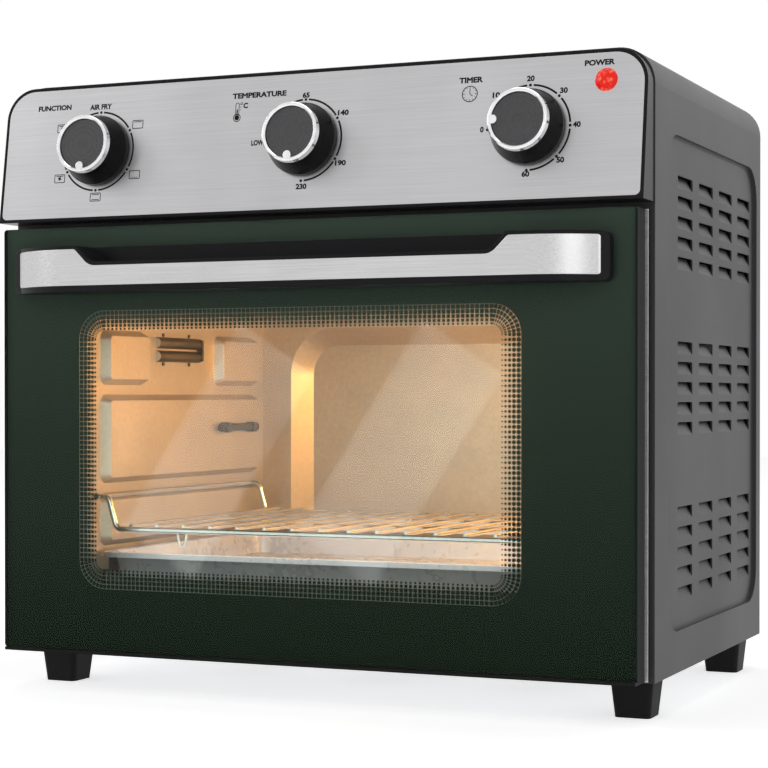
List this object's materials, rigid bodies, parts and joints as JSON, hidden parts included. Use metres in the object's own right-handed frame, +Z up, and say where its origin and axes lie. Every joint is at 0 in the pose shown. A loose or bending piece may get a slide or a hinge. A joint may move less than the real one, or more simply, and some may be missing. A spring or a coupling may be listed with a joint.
{
  "type": "air fryer oven",
  "caption": "Countertop air fryer oven with a bottom-hinged glass door, a wire rack, a tray, a fan and turning dials on a sloping steel fascia.",
  "frame": {"origin": "on the surface the feet rest on, under the middle of the overall box", "axes": "+X to the right of someone facing the door, +Y towards the back, +Z up"},
  "size_m": [0.4, 0.3048, 0.3618],
  "materials": {
    "body_grey": "satin textured paint",
    "frame_black": "satin",
    "galvanised": "dull sheet",
    "fascia_steel": "brushed along X",
    "cavity_steel": "smooth aluminised sheet",
    "bezel_plastic": "gloss",
    "knob_plastic": "gloss",
    "knob_chrome": "polished",
    "control_plastic": "moulded",
    "shaft_steel": "turned",
    "lamp_red": "clear red",
    "door_glass": "printed from behind",
    "door_steel": "pressed",
    "door_paint": "satin",
    "handle_plastic": "fine texture",
    "handle_steel": "brushed along X",
    "heater_steel": "heat-tinted sheath",
    "ceramic": null,
    "lamp_glass": "clear",
    "rack_chrome": "plated wire",
    "tray_enamel": "enamel",
    "foot_rubber": "moulded",
    "screw_steel": "plated"
  },
  "bodies": {
    "oven": {"outer_wrap": "body_grey", "base_pan": "galvanised", "back_panel": "body_grey", "back_screws": "screw_steel", "cord_gland": "bezel_plastic", "terminal_block": "control_plastic", "front_frame": "frame_black", "hinge_brackets": "door_steel", "foot_screws": "screw_steel", "cavity_left_wall": "cavity_steel", "cavity_right_wall": "cavity_steel", "cavity_floor": "cavity_steel", "cavity_ceiling": "cavity_steel", "thermostat_sensor": "heater_steel", "cavity_back_wall": "cavity_steel", "upper_heaters": "heater_steel", "lower_heaters": "heater_steel", "heater_insulators": "ceramic", "fan_housing": "galvanised", "fan_guard": "cavity_steel", "heat_shield": "galvanised", "fan_motor": "galvanised", "cavity_lamp_cover": "lamp_glass", "cavity_lamp_holder": "galvanised", "cavity_lamp_bulb": "lamp_glass", "control_bezel": "bezel_plastic", "fascia_plate": "fascia_steel", "power_lamp_lens": "lamp_red", "power_lamp_holder": "control_plastic", "function_switch": "control_plastic", "thermostat": "galvanised", "timer": "galvanised", "timer_bell": "screw_steel", "foot_front_left": "foot_rubber", "foot_front_right": "foot_rubber", "foot_rear_left": "foot_rubber", "foot_rear_right": "foot_rubber"},
    "door": {"door_glass": "door_glass", "door_frame": "door_steel", "door_rail_left": "door_paint", "door_rail_right": "door_paint", "door_bottom_trim": "door_paint", "hinge_pins": "shaft_steel", "door_handle": "handle_plastic", "handle_trim": "handle_steel", "handle_screws": "screw_steel"},
    "rack": {"wire_rack": "rack_chrome"},
    "tray": {"baking_tray": "tray_enamel"},
    "fan": {"convection_fan": "galvanised", "fan_shaft": "shaft_steel"},
    "function_dial": {"function_knob": "knob_plastic", "function_knob_ring": "knob_chrome", "function_shaft": "shaft_steel"},
    "temperature_dial": {"temperature_knob": "knob_plastic", "temperature_knob_ring": "knob_chrome", "temperature_shaft": "shaft_steel"},
    "timer_dial": {"timer_knob": "knob_plastic", "timer_knob_ring": "knob_chrome", "timer_shaft": "shaft_steel"}
  },
  "joints": [
    {"name": "door_hinge", "type": "hinge", "parent": "oven", "child": "door", "pos_m": [0, -0.11555, 0.0271], "axis": [1, 0, 0], "range_deg": [0, 85]},
    {"name": "rack_slide", "type": "slide", "parent": "oven", "child": "rack", "axis": [0, -1, 0], "range_m": [0, 0.083]},
    {"name": "tray_slide", "type": "slide", "parent": "oven", "child": "tray", "axis": [0, -1, 0], "range_m": [0, 0.043]},
    {"name": "fan_spin", "type": "hinge", "parent": "oven", "child": "fan", "pos_m": [0, 0.00745, 0.28], "axis": [0, 0, 1], "continuous": true},
    {"name": "function_turn", "type": "hinge", "parent": "oven", "child": "function_dial", "pos_m": [-0.134, -0.12341, 0.31957], "axis": [0, 0.9896, -0.1438], "continuous": true},
    {"name": "temperature_turn", "type": "hinge", "parent": "oven", "child": "temperature_dial", "pos_m": [0, -0.12341, 0.31957], "axis": [0, 0.9896, -0.1438], "range_deg": [-283, 0]},
    {"name": "timer_turn", "type": "hinge", "parent": "oven", "child": "timer_dial", "pos_m": [0.134, -0.12341, 0.31957], "axis": [0, 0.9896, -0.1438], "range_deg": [0, 270]}
  ],
  "couplings": [
    {"joint": "rack_slide", "follows": "door_hinge", "m_per_rad": 0.055},
    {"joint": "tray_slide", "follows": "door_hinge", "m_per_rad": 0.028}
  ]
}
